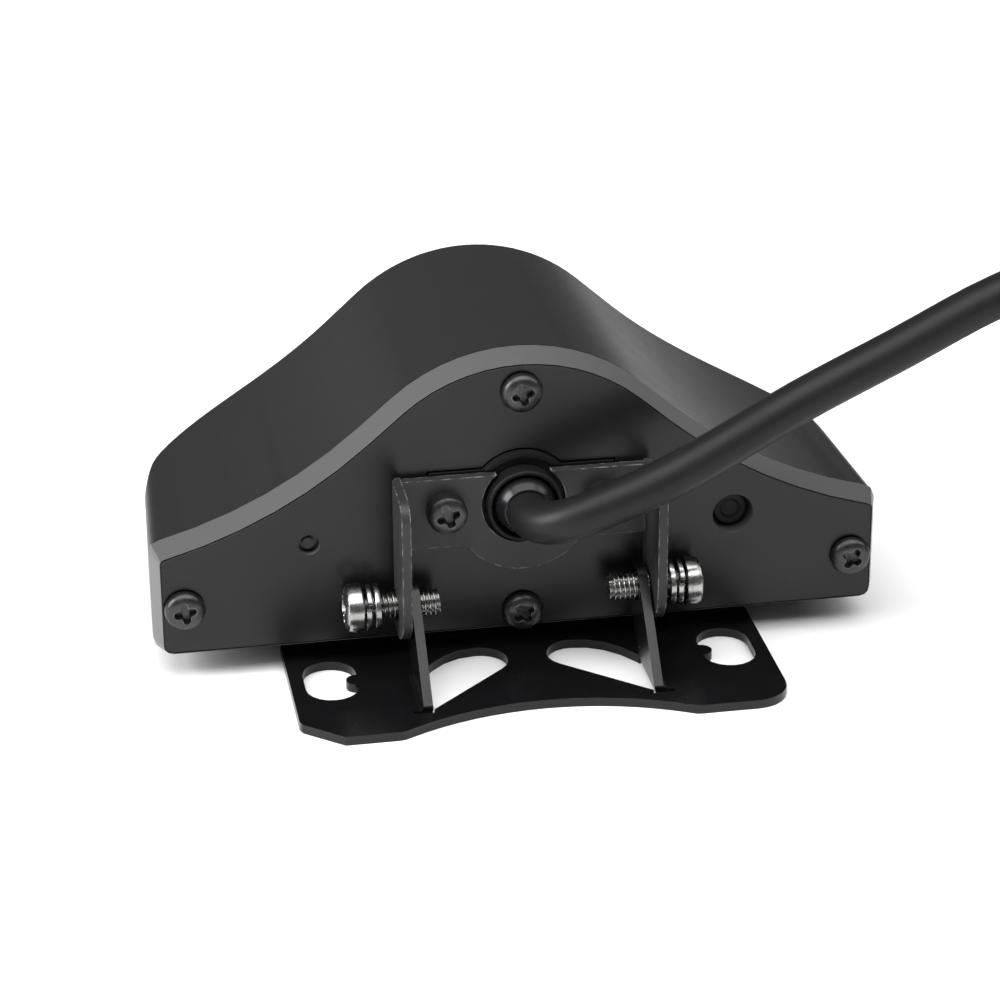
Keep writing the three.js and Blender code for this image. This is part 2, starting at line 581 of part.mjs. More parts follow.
function lensPieces() {
  const tip = FACE + 2.4 + 0.45;               // just behind the window's seat
  const tail = tip + 7.2;
  const barrel = [
    [4.3, 0.2], [6.1, 0.2], [6.1, -6.6], [7.2, -6.7], [7.2, -7.2], [5.4, -7.2], [4.3, -5.2], [4.3, 0.2],
  ];
  addPiece('lens_barrel', turned(barrel, 24).translate(0, tail, LENS_Z), 'rubber');
  const front = [[0, -6.9], [2.2, -6.8], [4, -6.1], [4, -5.6], [0, -5.1]];
  addPiece('lens_front_element', turned(front, 24).translate(0, tail, LENS_Z), 'glass');
  const rear = [[0, -3.6], [3.9, -3.1], [3.9, -1.6], [0, -1.1]];
  addPiece('lens_rear_element', turned(rear, 20).translate(0, tail, LENS_Z), 'glass');
  const ring = toSolid(rodY(0, LENS_Z, 7.4, tail - 2.7, tail - 4.2, 24));
  addPiece('lens_lock_ring', ring.subtract(toSolid(rodY(0, LENS_Z, 6.4, tail, tail - 8, 24))), 'brass');
}

function addElectronics() {
  const rear = SENSOR_BOARD_REAR;
  const front = rear - BOARD;
  addPiece('sensor_board', block(-13.5, 13.5, front, rear, up(7.6), up(31.4)), 'board');
  addPiece('image_sensor', block(-4.2, 4.2, front - 1.4, front - GAP, LENS_Z - 4.2, LENS_Z + 4.2), 'chip');
  addPiece('lens_holder', lensHolder(), 'rubber');
  lensPieces();
  addPiece('board_socket', block(-4, 4, rear + GAP, rear + 3.4, up(10.4), up(14.2)), 'led');
  const lead = new THREE.CatmullRomCurve3([
    [-7.8, 20.8], [-8.8, 20.7], [-9.9, 19.5], [-10.6, 17.3], [-10.7, 14.6],
  ].map(([y, z]) => new THREE.Vector3(0, BACK + y, up(z))));
  const wire = extrude(arc(0, 0, 1.1, 0, 2 * Math.PI * 7 / 8, 7), 1, { steps: 12, extrudePath: lead });
  addPiece('inner_lead', wire, 'cable');
  for (const [name, sign] of [['left', 1], ['right', -1]]) {
    const edges = [sign * 13.2, sign * 43.4].sort((a, b) => a - b);
    const board = block(edges[0], edges[1], IR_BOARD_REAR - BOARD, IR_BOARD_REAR, up(3.6), up(15.2));
    addPiece(`ir_board_${name}`, board, 'board');
    for (let i = 0; i < 5; i += 1) {
      const x = sign * (17.1 + 5.8 * i);
      const sensor = sign < 0 && i === 0;
      const radius = sensor ? 1.6 : 2.4;
      const profile = [[0, 0], [radius + 0.3, 0], [radius + 0.3, 0.9], [radius, 0.9], [radius, 2.9],
        [radius * 0.8, 4.2], [radius * 0.4, 4.8], [0, 4.95]];
      const part = turned(profile, 10).rotateX(Math.PI).translate(x, IR_BOARD_REAR - BOARD - GAP, LED_Z);
      addPiece(sensor ? 'light_sensor' : `ir_led_${name}_${i + 1}`, part, 'led');
    }
  }
}

// ---- cable, coil and connector -----------------------------------------------------------------
// The cable leaves the gland rearwards, turns towards -X and up, then comes down to the floor.
const CABLE_ROUTE = [
  [0, -1, 24.1], [0, 0, 24.1], [-0.5, 2.1, 24.2], [-2.2, 4.5, 24.8], [-4.8, 6.2, 25.9], [-8.4, 6.9, 27.4],
  [-15.2, 7, 30], [-22.3, 6.4, 33.1], [-36.3, 5.2, 40.2], [-50.3, 4.3, 46.5], [-64.2, 3.7, 53],
  [-75, 4, 56.4], [-85, 4.4, 55.6], [-93, 4.8, 50], [-98, 5.3, 41.4], [-101.2, 5.7, 31.4],
  [-104.2, 5.9, 21.4], [-108.6, 6, 12.4], [-115, 6, 6], [-123.5, 6, 3.15], [-128, 6, 3.1],
];

function cableLead() {
  const route = CABLE_ROUTE.map((place) => new THREE.Vector3(...place));
  const path = new THREE.CatmullRomCurve3(route, false, 'centripetal');
  const section = arc(0, 0, CABLE, 0, 2 * Math.PI * 9 / 10, 9);
  return extrude(section, 1, { steps: 56, extrudePath: path });
}

function cableCoil() {
  const inner = COIL.middle - COIL.band;
  const outer = COIL.middle + COIL.band;
  const height = 4 * CABLE;
  const round = 2.2;
  const profile = [
    [inner, round], [inner + round, 0], [outer - round, 0], [outer, round], [outer, height - round],
    [outer - round, height], [inner + round, height], [inner, height - round], [inner, round],
  ];
  return turned(profile, 36).rotateX(Math.PI / 2).translate(COIL.x, COIL.y, 0);
}

function addConnector() {
  const axisZ = 7.4;
  const place = (geometry) => geometry.rotateX(Math.PI).translate(PLUG_X, COIL.y, axisZ);
  const boot = [[0, 0], [3.5, 0], [3.9, 0.5], [5.2, 11], [5.2, 14], [0, 14]];
  addPiece('connector_boot', place(turned(boot, 18)), 'rubber');
  const shell = [
    [0, 14.3], [5.9, 14.3], [6.1, 14.6], [6.1, 24], [5.3, 24.2], [5.3, 37.2], [4.6, 37.2], [4.6, 26.5],
    [0, 26.5],
  ];
  addPiece('connector_shell', place(turned(shell, 20)), 'steel');
  const ring = [[5.65, 24.5], [7.2, 24.5], [7.4, 24.8], [7.4, 35.6], [7.1, 35.9], [5.65, 35.9], [5.65, 24.5]];
  addPiece('coupling_ring', place(turned(ring, 24)), 'steel');
  let insert = toSolid(rodY(0, 0, 4.3, 31.5, 26.8, 24));
  for (let i = 0; i < 4; i += 1) {
    const angle = (i + 0.5) * Math.PI / 2;
    insert = insert.add(toSolid(rodY(2 * Math.cos(angle), 2 * Math.sin(angle), 0.5, 36, 31, 10)));
  }
  addPiece('connector_insert', place(toGeometry(insert)), 'brass');
}

// ---- the assembly ----------------------------------------------------------------------------
addPiece('main_housing', mainHousing(), 'housing');
addPiece('rear_cover', rearCover(), 'cover');
addPiece('cover_gasket', coverGasket(), 'rubber');
addPiece('vent_plug', ventPlug(), 'rubber');
addCoverScrews();
addPiece('bracket_gasket', bracketGasket(), 'rubber');
addPiece('gland_collar', glandCollar(), 'rubber');
addPiece('strain_relief', strainRelief(), 'rubber');
addPiece('gland_nut', glandNut(), 'brass');
addPiece('swivel_bracket', swivelBracket(), 'bracket');
addBracketScrews();
addPiece('mounting_base', mountingBase(), 'base');
addClamps();
addPiece('front_bezel', frontBezel(), 'cover');
addPiece('front_window', frontWindow(), 'glass');
addElectronics();
addPiece('cable_lead', cableLead(), 'cable');
addPiece('cable_coil', cableCoil(), 'cable');
addConnector();

export default camera;
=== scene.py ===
"""Looks of the backup camera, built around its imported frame. Lengths are in metres."""
import json
import math
import random

import bmesh
import bpy
from mathutils import Matrix, Vector


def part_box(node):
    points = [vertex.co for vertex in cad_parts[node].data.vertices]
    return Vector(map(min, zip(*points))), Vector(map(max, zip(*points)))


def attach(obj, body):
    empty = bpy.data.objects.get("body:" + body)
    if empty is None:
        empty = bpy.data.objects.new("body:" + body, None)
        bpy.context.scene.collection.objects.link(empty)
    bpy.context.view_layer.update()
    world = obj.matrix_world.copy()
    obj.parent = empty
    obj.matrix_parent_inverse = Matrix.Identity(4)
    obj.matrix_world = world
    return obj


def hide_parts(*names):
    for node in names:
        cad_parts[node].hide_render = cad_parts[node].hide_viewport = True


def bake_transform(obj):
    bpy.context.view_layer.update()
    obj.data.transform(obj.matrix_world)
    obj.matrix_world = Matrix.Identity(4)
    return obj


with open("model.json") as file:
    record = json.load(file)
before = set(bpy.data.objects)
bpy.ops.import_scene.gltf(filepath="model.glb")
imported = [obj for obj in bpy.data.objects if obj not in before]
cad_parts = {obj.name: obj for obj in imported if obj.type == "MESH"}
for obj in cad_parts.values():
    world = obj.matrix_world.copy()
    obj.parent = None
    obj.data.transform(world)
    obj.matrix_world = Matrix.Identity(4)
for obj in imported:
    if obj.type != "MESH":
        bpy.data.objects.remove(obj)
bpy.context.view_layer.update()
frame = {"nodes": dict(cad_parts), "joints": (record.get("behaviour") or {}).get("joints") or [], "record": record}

MM = 0.001
QUARTER = math.pi / 2

# Places that the frame gives, and those set out from them.
BACK = -5.9 * MM                                  # rear cover's outer face
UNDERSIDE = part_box("main_housing")[0].z           # underside of the housing
HINGE = Vector(frame["joints"][0]["pos_m"])
GLAND = Vector((0, BACK, UNDERSIDE + 20.8 * MM))
LENS_HEIGHT = UNDERSIDE + 19 * MM
LIGHTS_HEIGHT = UNDERSIDE + 9 * MM

# The camera that looks at the scene, on a 36 mm wide sensor.
VIEW_LENS = 118.8
VIEW_PLACE = Vector((74.12, 404.78, 212.09)) * MM
VIEW_AIM = Vector((2.947, -6.6, 23.72)) * MM
VIEW_ROLL = math.radians(-0.448)

WORLD_LIGHT = 0.14
SOFTBOX_AIM = Vector((0, 0, 0.02))
SOFTBOXES = [                     # name, place and size in metres, power in watts
    ("overhead_softbox", (0, 0.3, 0.95), (1.5, 0.9), 17.5),
    ("left_softbox", (0.85, 0.15, 0.45), (0.4, 0.6), 11),
    ("right_softbox", (-0.85, 0.1, 0.6), (0.5, 0.5), 2.6),
]
FLOOR_REACH = 4.0
FLOOR_DROP = 0.03 * MM            # keeps the floor clear of the faces that stand on it

# Bell profile, as in the design: its crest, shoulders and hollow sweep out to the wings.
HALF_WIDTH = 51.7 * MM
CREST_HEIGHT = 41.95 * MM
CREST_RADIUS = 26.6 * MM
SLOPE_ANGLE = 0.709
SLOPE_LENGTH = 6.3 * MM
WING_RADIUS = 69.3 * MM
HOOD_DEPTH = 45.4 * MM
HOOD_SWEEP = 19 * MM
HOOD_TAPER = 0.05
HOOD_CORNER = [(48.2, 32.6), (49.4, 29.2), (50.4, 24.5), (51.2, 20), (52.2, 13)]   # x, reach in mm
WALL = 2.6 * MM
FACE = BACK - 27 * MM             # front of the body, where the bezel lies
FRONT_WALL = 4.4 * MM
WINDOW_SEAT = 2.4 * MM            # how far the window's seat is sunk behind the front
WINDOW_INSET = 5.2 * MM
LENS_HOLE = 8                     # radius in mm
LIGHT_SLOT = {"inner": 13.5 * MM, "outer": 44.5 * MM, "half_height": 3.2 * MM}

CABLE = 3 * MM
COIL = Vector((-122, -35.5, 0)) * MM
COIL_MIDDLE = 32 * MM
PLUG = Vector((-166.1, -35.5, 7.4)) * MM


# ---- camera, floor and lights ---------------------------------------------------------------
def aimed(place, aim):
    """The place of a camera or light whose -Z axis looks at `aim`."""
    turn = (aim - place).to_track_quat("-Z", "Y").to_matrix().to_4x4()
    return Matrix.Translation(place) @ turn


def add_camera():
    data = bpy.data.cameras.new("photo_camera")
    data.lens = VIEW_LENS
    data.sensor_width = 36
    data.clip_start = 0.01
    data.dof.use_dof = False
    camera = bpy.data.objects.new("photo_camera", data)
    bpy.context.scene.collection.objects.link(camera)
    camera.matrix_world = aimed(VIEW_PLACE, VIEW_AIM) @ Matrix.Rotation(VIEW_ROLL, 4, "Z")
    bpy.context.scene.camera = camera


def add_softbox(name, place, size, power):
    data = bpy.data.lights.new(name, "AREA")
    data.shape = "RECTANGLE"
    data.size, data.size_y = size
    data.energy = power
    light = bpy.data.objects.new(name, data)
    bpy.context.scene.collection.objects.link(light)
    light.matrix_world = aimed(Vector(place), SOFTBOX_AIM)


def add_studio():
    world = bpy.data.worlds.new("studio")
    world.use_nodes = True
    background = world.node_tree.nodes["Background"]
    background.inputs["Color"].default_value = (1, 1, 1, 1)
    background.inputs["Strength"].default_value = WORLD_LIGHT
    bpy.context.scene.world = world
    bpy.context.scene.view_settings.view_transform = "Standard"
    for softbox in SOFTBOXES:
        add_softbox(*softbox)


def add_floor():
    corners = [(x * FLOOR_REACH, y * FLOOR_REACH, 0) for x, y in ((-1, -1), (1, -1), (1, 1), (-1, 1))]
    mesh = bpy.data.meshes.new("floor")
    mesh.from_pydata(corners, [], [(0, 1, 2, 3)])
    floor = bpy.data.objects.new("floor", mesh)
    floor.location.z = -FLOOR_DROP
    bpy.context.scene.collection.objects.link(floor)
    floor.data.materials.append(procedural("floor_paper", (0.92, 0.92, 0.92), 0.75, mottle=0.02,
                                           mottle_size=0.4, grain=0.0004, bump=0.00002))


# ---- materials ------------------------------------------------------------------------------
def ramp(nodes, low, high, dark=0.0, light=1.0):
    """Turns a value from `low` to `high` into one from `dark` to `light`."""
    node = nodes.new("ShaderNodeMapRange")
    node.inputs["From Min"].default_value = low
    node.inputs["From Max"].default_value = high
    node.inputs["To Min"].default_value = dark
    node.inputs["To Max"].default_value = light
    return node


def noise(tree, size, detail, stretch=(1, 1, 1)):
    """Noise whose features are about `size` metres across, stretched along the object's axes."""
    where = tree.nodes.get("where") or tree.nodes.new("ShaderNodeTexCoord")
    where.name = "where"
    mapping = tree.nodes.new("ShaderNodeMapping")
    mapping.inputs["Scale"].default_value = tuple(1 / (size * s) for s in stretch)
    node = tree.nodes.new("ShaderNodeTexNoise")
    node.inputs["Scale"].default_value = 1.0
    node.inputs["Detail"].default_value = detail
    tree.links.new(where.outputs["Object"], mapping.inputs["Vector"])
    tree.links.new(mapping.outputs["Vector"], node.inputs["Vector"])
    return node


def mixed(tree, factor, first, second):
    """A colour between two others; each is a colour or another node's output."""
    mix = tree.nodes.new("ShaderNodeMix")
    mix.data_type = "RGBA"
    tree.links.new(factor, mix.inputs["Factor"])
    for side, colour in (("A", first), ("B", second)):
        if isinstance(colour, bpy.types.NodeSocket):
            tree.links.new(colour, mix.inputs[side])
        else:
            mix.inputs[side].default_value = (*colour, 1)
    return mix.outputs["Result"]


def worn_edges(tree, surface, wear, wear_colour):
    """The surface with chips of another colour where its edges bend by more than `wear`."""
    nodes = tree.nodes
    links = tree.links
    shape = nodes.new("ShaderNodeNewGeometry")
    softened = nodes.new("ShaderNodeBevel")
    softened.samples = 4
    softened.inputs["Radius"].default_value = 0.0003
    bend = nodes.new("ShaderNodeVectorMath")
    bend.operation = "DISTANCE"
    edge = ramp(nodes, wear, wear + 0.3)
    chips = noise(tree, 0.0012, 5)
    spots = ramp(nodes, 0.45, 0.62)
    both = nodes.new("ShaderNodeMath")
    both.operation = "MULTIPLY"
    links.new(shape.outputs["Normal"], bend.inputs[0])
    links.new(softened.outputs["Normal"], bend.inputs[1])
    links.new(bend.outputs["Value"], edge.inputs["Value"])
    links.new(chips.outputs["Fac"], spots.inputs["Value"])
    links.new(edge.outputs["Result"], both.inputs[0])
    links.new(spots.outputs["Result"], both.inputs[1])
    return mixed(tree, both.outputs["Value"], surface, wear_colour)


def painted_rim_highlight(tree, surface, rim_highlight_colour):
    """The surface painted lighter on the faces that don't look along the object's Y axis: a painted highlight on
    the slanted rim.
    """
    parts = tree.nodes.new("ShaderNodeSeparateXYZ")
    highlight_mask = ramp(tree.nodes, 0.55, 0.85, 1.0, 0.0)
    tree.links.new(tree.nodes["where"].outputs["Normal"], parts.inputs["Vector"])
    tree.links.new(parts.outputs["Y"], highlight_mask.inputs["Value"])
    return mixed(tree, highlight_mask.outputs["Result"], surface, rim_highlight_colour)


def scratched(tree, height, scratches):
    """The height with long fine scratches cut into it."""
    lines = noise(tree, 0.0016, 2, (12, 0.12, 1.1))
    cut_depth = ramp(tree.nodes, 0.62, 0.66, 0.0, -scratches)
    total = tree.nodes.new("ShaderNodeMath")
    total.operation = "ADD"
    tree.links.new(lines.outputs["Fac"], cut_depth.inputs["Value"])
    tree.links.new(height, total.inputs[0])
    tree.links.new(cut_depth.outputs["Result"], total.inputs[1])
    return total.outputs["Value"]


def procedural(name, colour, roughness, metallic=0.0, mottle=0.15, mottle_size=0.012, grain=0.00025,
               bump=0.000004, uneven=0.08, wear=None, wear_colour=(0.32, 0.31, 0.3), scratches=0.0,
               coat=0.0, specular=0.5, rim_highlight_colour=None):
    """A surface with mottled colour, uneven roughness, a fine grain in its bump, worn edges, and optionally a
    painted highlight on its slanted rim.
    """
    material = bpy.data.materials.new(name)
    material.use_nodes = True
    tree = material.node_tree
    nodes = tree.nodes
    links = tree.links
    shader = nodes["Principled BSDF"]
    shader.inputs["Metallic"].default_value = metallic
    shader.inputs["Specular IOR Level"].default_value = specular
    shader.inputs["Coat Weight"].default_value = coat
    shader.inputs["Coat Roughness"].default_value = 0.12

    darker = [c * (1 - mottle) for c in colour]
    lighter = [min(1, c * (1 + mottle)) for c in colour]
    surface = mixed(tree, noise(tree, mottle_size, 4).outputs["Fac"], darker, lighter)
    if wear is not None:
        surface = worn_edges(tree, surface, wear, wear_colour)
    # painted highlight: faces that slant away from the object's Y axis get a lighter colour
    if rim_highlight_colour:
        surface = painted_rim_highlight(tree, surface, rim_highlight_colour)
    links.new(surface, shader.inputs["Base Color"])

    streaks = noise(tree, mottle_size * 0.35, 5)
    rough = ramp(nodes, 0.25, 0.75, max(0.02, roughness - uneven), min(1, roughness + uneven))
    links.new(streaks.outputs["Fac"], rough.inputs["Value"])
    links.new(rough.outputs["Result"], shader.inputs["Roughness"])

    height = noise(tree, grain, 2).outputs["Fac"]
    if scratches:
        height = scratched(tree, height, scratches)
    relief = nodes.new("ShaderNodeBump")
    relief.inputs["Strength"].default_value = 1.0
    relief.inputs["Distance"].default_value = bump
    links.new(height, relief.inputs["Height"])
    links.new(relief.outputs["Normal"], shader.inputs["Normal"])
    return material


def glass(name, tint, roughness, coating):
    """Clear glass with faint smudges in its gloss and a coloured coating."""
    material = procedural(name, tint, roughness, mottle=0.04, uneven=0.02, grain=0.002, bump=0.0000005)
    shader = material.node_tree.nodes["Principled BSDF"]
    shader.inputs["Transmission Weight"].default_value = 0.95
    shader.inputs["IOR"].default_value = 1.5
    shader.inputs["Coat Weight"].default_value = coating
    shader.inputs["Coat Tint"].default_value = (0.45, 0.35, 0.85, 1)
    return material


def make_materials():
    return {
        "hood_paint": procedural("hood_paint", (0.015, 0.015, 0.0154), 0.4, mottle=0.06, grain=0.0003,
                                 bump=0.000003, uneven=0.02, scratches=0.04, specular=0.29),
        # the cover's chamfered rim is painted lighter than its flat back: a painted highlight
        "cover_paint": procedural("cover_paint", (0.006, 0.006, 0.0063), 0.3, mottle=0.12, grain=0.00022,
                                  bump=0.000004, uneven=0.03, specular=0.3, rim_highlight_colour=(0.08, 0.08, 0.082)),
        "bracket_paint": procedural("bracket_paint", (0.022, 0.022, 0.023), 0.45, mottle=0.1, grain=0.0002,
                                    bump=0.000005, specular=0.3, wear=0.3, scratches=0.2),
        "base_paint": procedural("base_paint", (0.004, 0.004, 0.0045), 0.24, mottle=0.2, grain=0.0006,
                                 bump=0.000005, specular=0.3, uneven=0.05, wear=0.5,
                                 wear_colour=(0.03, 0.03, 0.03)),
        "black_screw": procedural("black_screw", (0.05, 0.05, 0.052), 0.34, metallic=0.85, mottle=0.3,
                                  mottle_size=0.002, uneven=0.1, wear=0.35),
        "clamp_steel": procedural("clamp_steel", (0.34, 0.335, 0.33), 0.24, metallic=1.0, mottle=0.35,
                                  mottle_size=0.0015, uneven=0.1, bump=0.000004, scratches=0.4),
        "gasket_rubber": procedural("gasket_rubber", (0.004, 0.004, 0.004), 0.55, mottle=0.2, bump=0.000006,
                                    specular=0.2),
        "gland_plastic": procedural("gland_plastic", (0.006, 0.006, 0.007), 0.25, mottle=0.2, uneven=0.06,
                                    bump=0.000004, grain=0.0005, specular=0.28),
        "cable_jacket": procedural("cable_jacket", (0.009, 0.009, 0.0095), 0.42, mottle=0.12, uneven=0.05,
                                   grain=0.00035, bump=0.000005, specular=0.2),
        "window_glass": glass("window_glass", (0.9, 0.94, 0.95), 0.03, 0.0),
        "lens_glass": glass("lens_glass", (0.72, 0.78, 0.9), 0.02, 0.9),
        "lens_black": procedural("lens_black", (0.018, 0.018, 0.019), 0.55, mottle=0.2, bump=0.000004),
        "brass": procedural("brass", (0.62, 0.45, 0.17), 0.3, metallic=1.0, mottle=0.15, scratches=0.3),
        "circuit_board": procedural("circuit_board", (0.015, 0.1, 0.045), 0.38, mottle=0.35,
                                    mottle_size=0.0018, grain=0.0007, bump=0.00001),
        "chip": procedural("chip", (0.02, 0.02, 0.025), 0.25, mottle=0.2),
        "led_epoxy": procedural("led_epoxy", (0.42, 0.4, 0.5), 0.1, mottle=0.25, mottle_size=0.002, coat=0.6),
        "white_nylon": procedural("white_nylon", (0.74, 0.72, 0.66), 0.5, mottle=0.06),
        "connector_nickel": procedural("connector_nickel", (0.5, 0.49, 0.46), 0.25, metallic=1.0, mottle=0.15,
                                       mottle_size=0.003, scratches=0.4),
        "connector_black": procedural("connector_black", (0.02, 0.02, 0.02), 0.5, mottle=0.2),
    }


# ---- mesh helpers ---------------------------------------------------------------------------
SHARP_ANGLE = 32                  # degrees; edges that bend by more are rounded
SMOOTH_ANGLE = 35                 # edges that bend by less are shaded smooth


def new_piece(name, mesh, body, slot_name, *replaced):
    piece = bpy.data.objects.new(name, mesh)
    bpy.context.scene.collection.objects.link(piece)
    mesh.materials.clear()
    mesh.materials.append(materials[slot_name])
    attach(piece, body)
    if replaced:
        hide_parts(*replaced)


def smooth_faces(mesh, angle=SMOOTH_ANGLE):
    mesh.polygons.foreach_set("use_smooth", [True] * len(mesh.polygons))
    mesh.set_sharp_from_angle(angle=math.radians(angle))


def with_modifier(mesh, kind, **settings):
    """The mesh with one modifier applied to it."""
    carrier = bpy.data.objects.new("carrier", mesh)
    bpy.context.scene.collection.objects.link(carrier)
    modifier = carrier.modifiers.new(kind, kind)
    for key, value in settings.items():
        setattr(modifier, key, value)
    bpy.context.view_layer.update()
    graph = bpy.context.evaluated_depsgraph_get()
    result = bpy.data.meshes.new_from_object(carrier.evaluated_get(graph))
    bpy.data.objects.remove(carrier)
    return result


def rounded(mesh, width, segments=2):
    """Every sharp edge rounded to `width`."""
    result = with_modifier(mesh, "BEVEL", width=width, segments=segments, limit_method="ANGLE",
                           angle_limit=math.radians(SHARP_ANGLE), use_clamp_overlap=True,
                           miter_outer="MITER_ARC", harden_normals=False)
    smooth_faces(result)
    return with_modifier(result, "WEIGHTED_NORMAL", keep_sharp=True, weight=90)


def cut(mesh, cutter):
    tool = bpy.data.objects.new("cutter", cutter)
    bpy.context.scene.collection.objects.link(tool)
    result = with_modifier(mesh, "BOOLEAN", operation="DIFFERENCE", object=tool, solver="EXACT")
    bpy.data.objects.remove(tool)
    return result


def finished(shape, name, outwards=True):
    """The bmesh as a mesh, with its faces turned outwards unless they already are."""
    if outwards:
        bmesh.ops.recalc_face_normals(shape, faces=shape.faces)
    mesh = bpy.data.meshes.new(name)
    shape.to_mesh(mesh)
    shape.free()
    return mesh


def bridge(shape, rings):
    """Faces between each ring of vertices and the next."""
    for low, high in zip(rings, rings[1:]):
        for i in range(len(low)):
            j = (i + 1) % len(low)
            shape.faces.new((low[i], low[j], high[j], high[i]))


def close_ends(shape, rings):
    shape.faces.new(rings[0][::-1])
    shape.faces.new(rings[-1])


def joined(*meshes):
    shape = bmesh.new()
    for mesh in meshes:
        shape.from_mesh(mesh)
    return finished(shape, "joined", outwards=False)


def cad_mesh(node):
    """A copy of a CAD node's mesh with its flat faces whole again."""
    shape = bmesh.new()
    shape.from_mesh(frame["nodes"][node].data)
    bmesh.ops.remove_doubles(shape, verts=shape.verts, dist=1e-6)
    bmesh.ops.dissolve_limit(shape, angle_limit=math.radians(0.4), verts=shape.verts, edges=shape.edges)
    return finished(shape, node, outwards=False)


def refine(node, width):
    """The CAD node's own shape with rounded edges, standing for the node."""
    new_piece(f"{node}_fine", rounded(cad_mesh(node), width), body_of[node], slot_of[node], node)


def pointing(direction):
    """Turns +Z to the direction."""
    return Vector((0, 0, 1)).rotation_difference(Vector(direction)).to_matrix().to_4x4()


def lathe(profile, place, direction, sides):
    """(radius, height) pairs in mm turned about an axis; a profile ends on the axis or closes."""
    closed = profile[0] == profile[-1]
    shape = bmesh.new()
    rings = []
    for radius, height in profile[:-1] if closed else profile:
        if radius < 1e-6:
            rings.append([shape.verts.new((0, 0, height * MM))])
            continue
        ring = []
        for i in range(sides):
            turn = 2 * math.pi * i / sides
            ring.append(shape.verts.new((radius * MM * math.cos(turn), radius * MM * math.sin(turn),
                                         height * MM)))
        rings.append(ring)
    pairs = list(zip(rings, rings[1:])) + ([(rings[-1], rings[0])] if closed else [])
    for low, high in pairs:
        for i in range(sides):
            j = (i + 1) % sides
            corners = [low[i % len(low)], low[j % len(low)], high[j % len(high)], high[i % len(high)]]
            corners = list(dict.fromkeys(corners))
            if len(corners) > 2:
                shape.faces.new(corners)
    mesh = finished(shape, "lathe")
    mesh.transform(Matrix.Translation(Vector(place)) @ pointing(direction))
    return mesh


def prism(outline, low, high, low_scale=1.0):
    """An outline in the XY plane filled from z = low to z = high, narrowing towards `low`."""
    shape = bmesh.new()
    bottom = [shape.verts.new((x * low_scale, y * low_scale, low)) for x, y in outline]
    top = [shape.verts.new((x, y, high)) for x, y in outline]
    shape.faces.new(bottom[::-1])
    shape.faces.new(top)
    count = len(outline)
    for i in range(count):
        j = (i + 1) % count
        shape.faces.new((bottom[i], bottom[j], top[j], top[i]))
    return finished(shape, "prism")


def arc(cx, cy, radius, start, end, steps):
    return [(cx + radius * math.cos(start + (end - start) * i / steps),
             cy + radius * math.sin(start + (end - start) * i / steps)) for i in range(steps + 1)]


# ---- cord -----------------------------------------------------------------------------------
def through(points, steps):
    """A centripetal Catmull-Rom curve through the points, with `steps` samples for each span."""
    ends = [points[0] * 2 - points[1]] + points + [points[-1] * 2 - points[-2]]
    line = []
    for i in range(1, len(ends) - 2):
        p0, p1, p2, p3 = ends[i - 1:i + 3]
        t0 = 0
        t1 = t0 + (p1 - p0).length ** 0.5
        t2 = t1 + (p2 - p1).length ** 0.5
        t3 = t2 + (p3 - p2).length ** 0.5
        for k in range(steps):
            t = t1 + (t2 - t1) * k / steps
            a1 = p0.lerp(p1, (t - t0) / (t1 - t0))
            a2 = p1.lerp(p2, (t - t1) / (t2 - t1))
            a3 = p2.lerp(p3, (t - t2) / (t3 - t2))
            b1 = a1.lerp(a2, (t - t0) / (t2 - t0))
            b2 = a2.lerp(a3, (t - t1) / (t3 - t1))
            line.append(b1.lerp(b2, (t - t1) / (t2 - t1)))
    return line + [points[-1]]


def tube(line, radius, sides=20):
    shape = bmesh.new()
    rings = []
    across = Vector((0, 0, 1))
    for i, point in enumerate(line):
        ahead = (line[min(i + 1, len(line) - 1)] - line[max(i - 1, 0)]).normalized()
        across = (across - ahead * across.dot(ahead)).normalized()
        side = ahead.cross(across)
        ring = []
        for k in range(sides):
            turn = 2 * math.pi * k / sides
            ring.append(shape.verts.new(point + radius * (math.cos(turn) * across + math.sin(turn) * side)))
        rings.append(ring)
    bridge(shape, rings)
    close_ends(shape, rings)
    mesh = finished(shape, "tube")
    smooth_faces(mesh, 50)
    return mesh


def eased(value, start, end):
    """From 0 at `start` to 1 at `end`, with a soft beginning and end."""
    t = min(1, max(0, (value - start) / (end - start)))
    return t * t * (3 - 2 * t)


def lead_route():
    """Out of the gland, round towards -X and up, then down to the floor beside the coil."""
    places = [
        (0, -1, 24.1), (0, 0, 24.1), (-0.5, 2.1, 24.2), (-2.2, 4.5, 24.8), (-4.8, 6.2, 25.9),
        (-8.4, 6.9, 27.4), (-15.2, 7, 30), (-22.3, 6.4, 33.1), (-36.3, 5.2, 40.2), (-50.3, 4.3, 46.5),
        (-64.2, 3.7, 53), (-75, 4, 56.4), (-85, 4.4, 55.6), (-93, 4.8, 50), (-98, 5.3, 41.4),
        (-101.2, 5.7, 31.4), (-104.2, 5.9, 21.4), (-108.6, 6, 12.4), (-115, 6, 6),
    ]
    return [Vector(place) * MM for place in places]


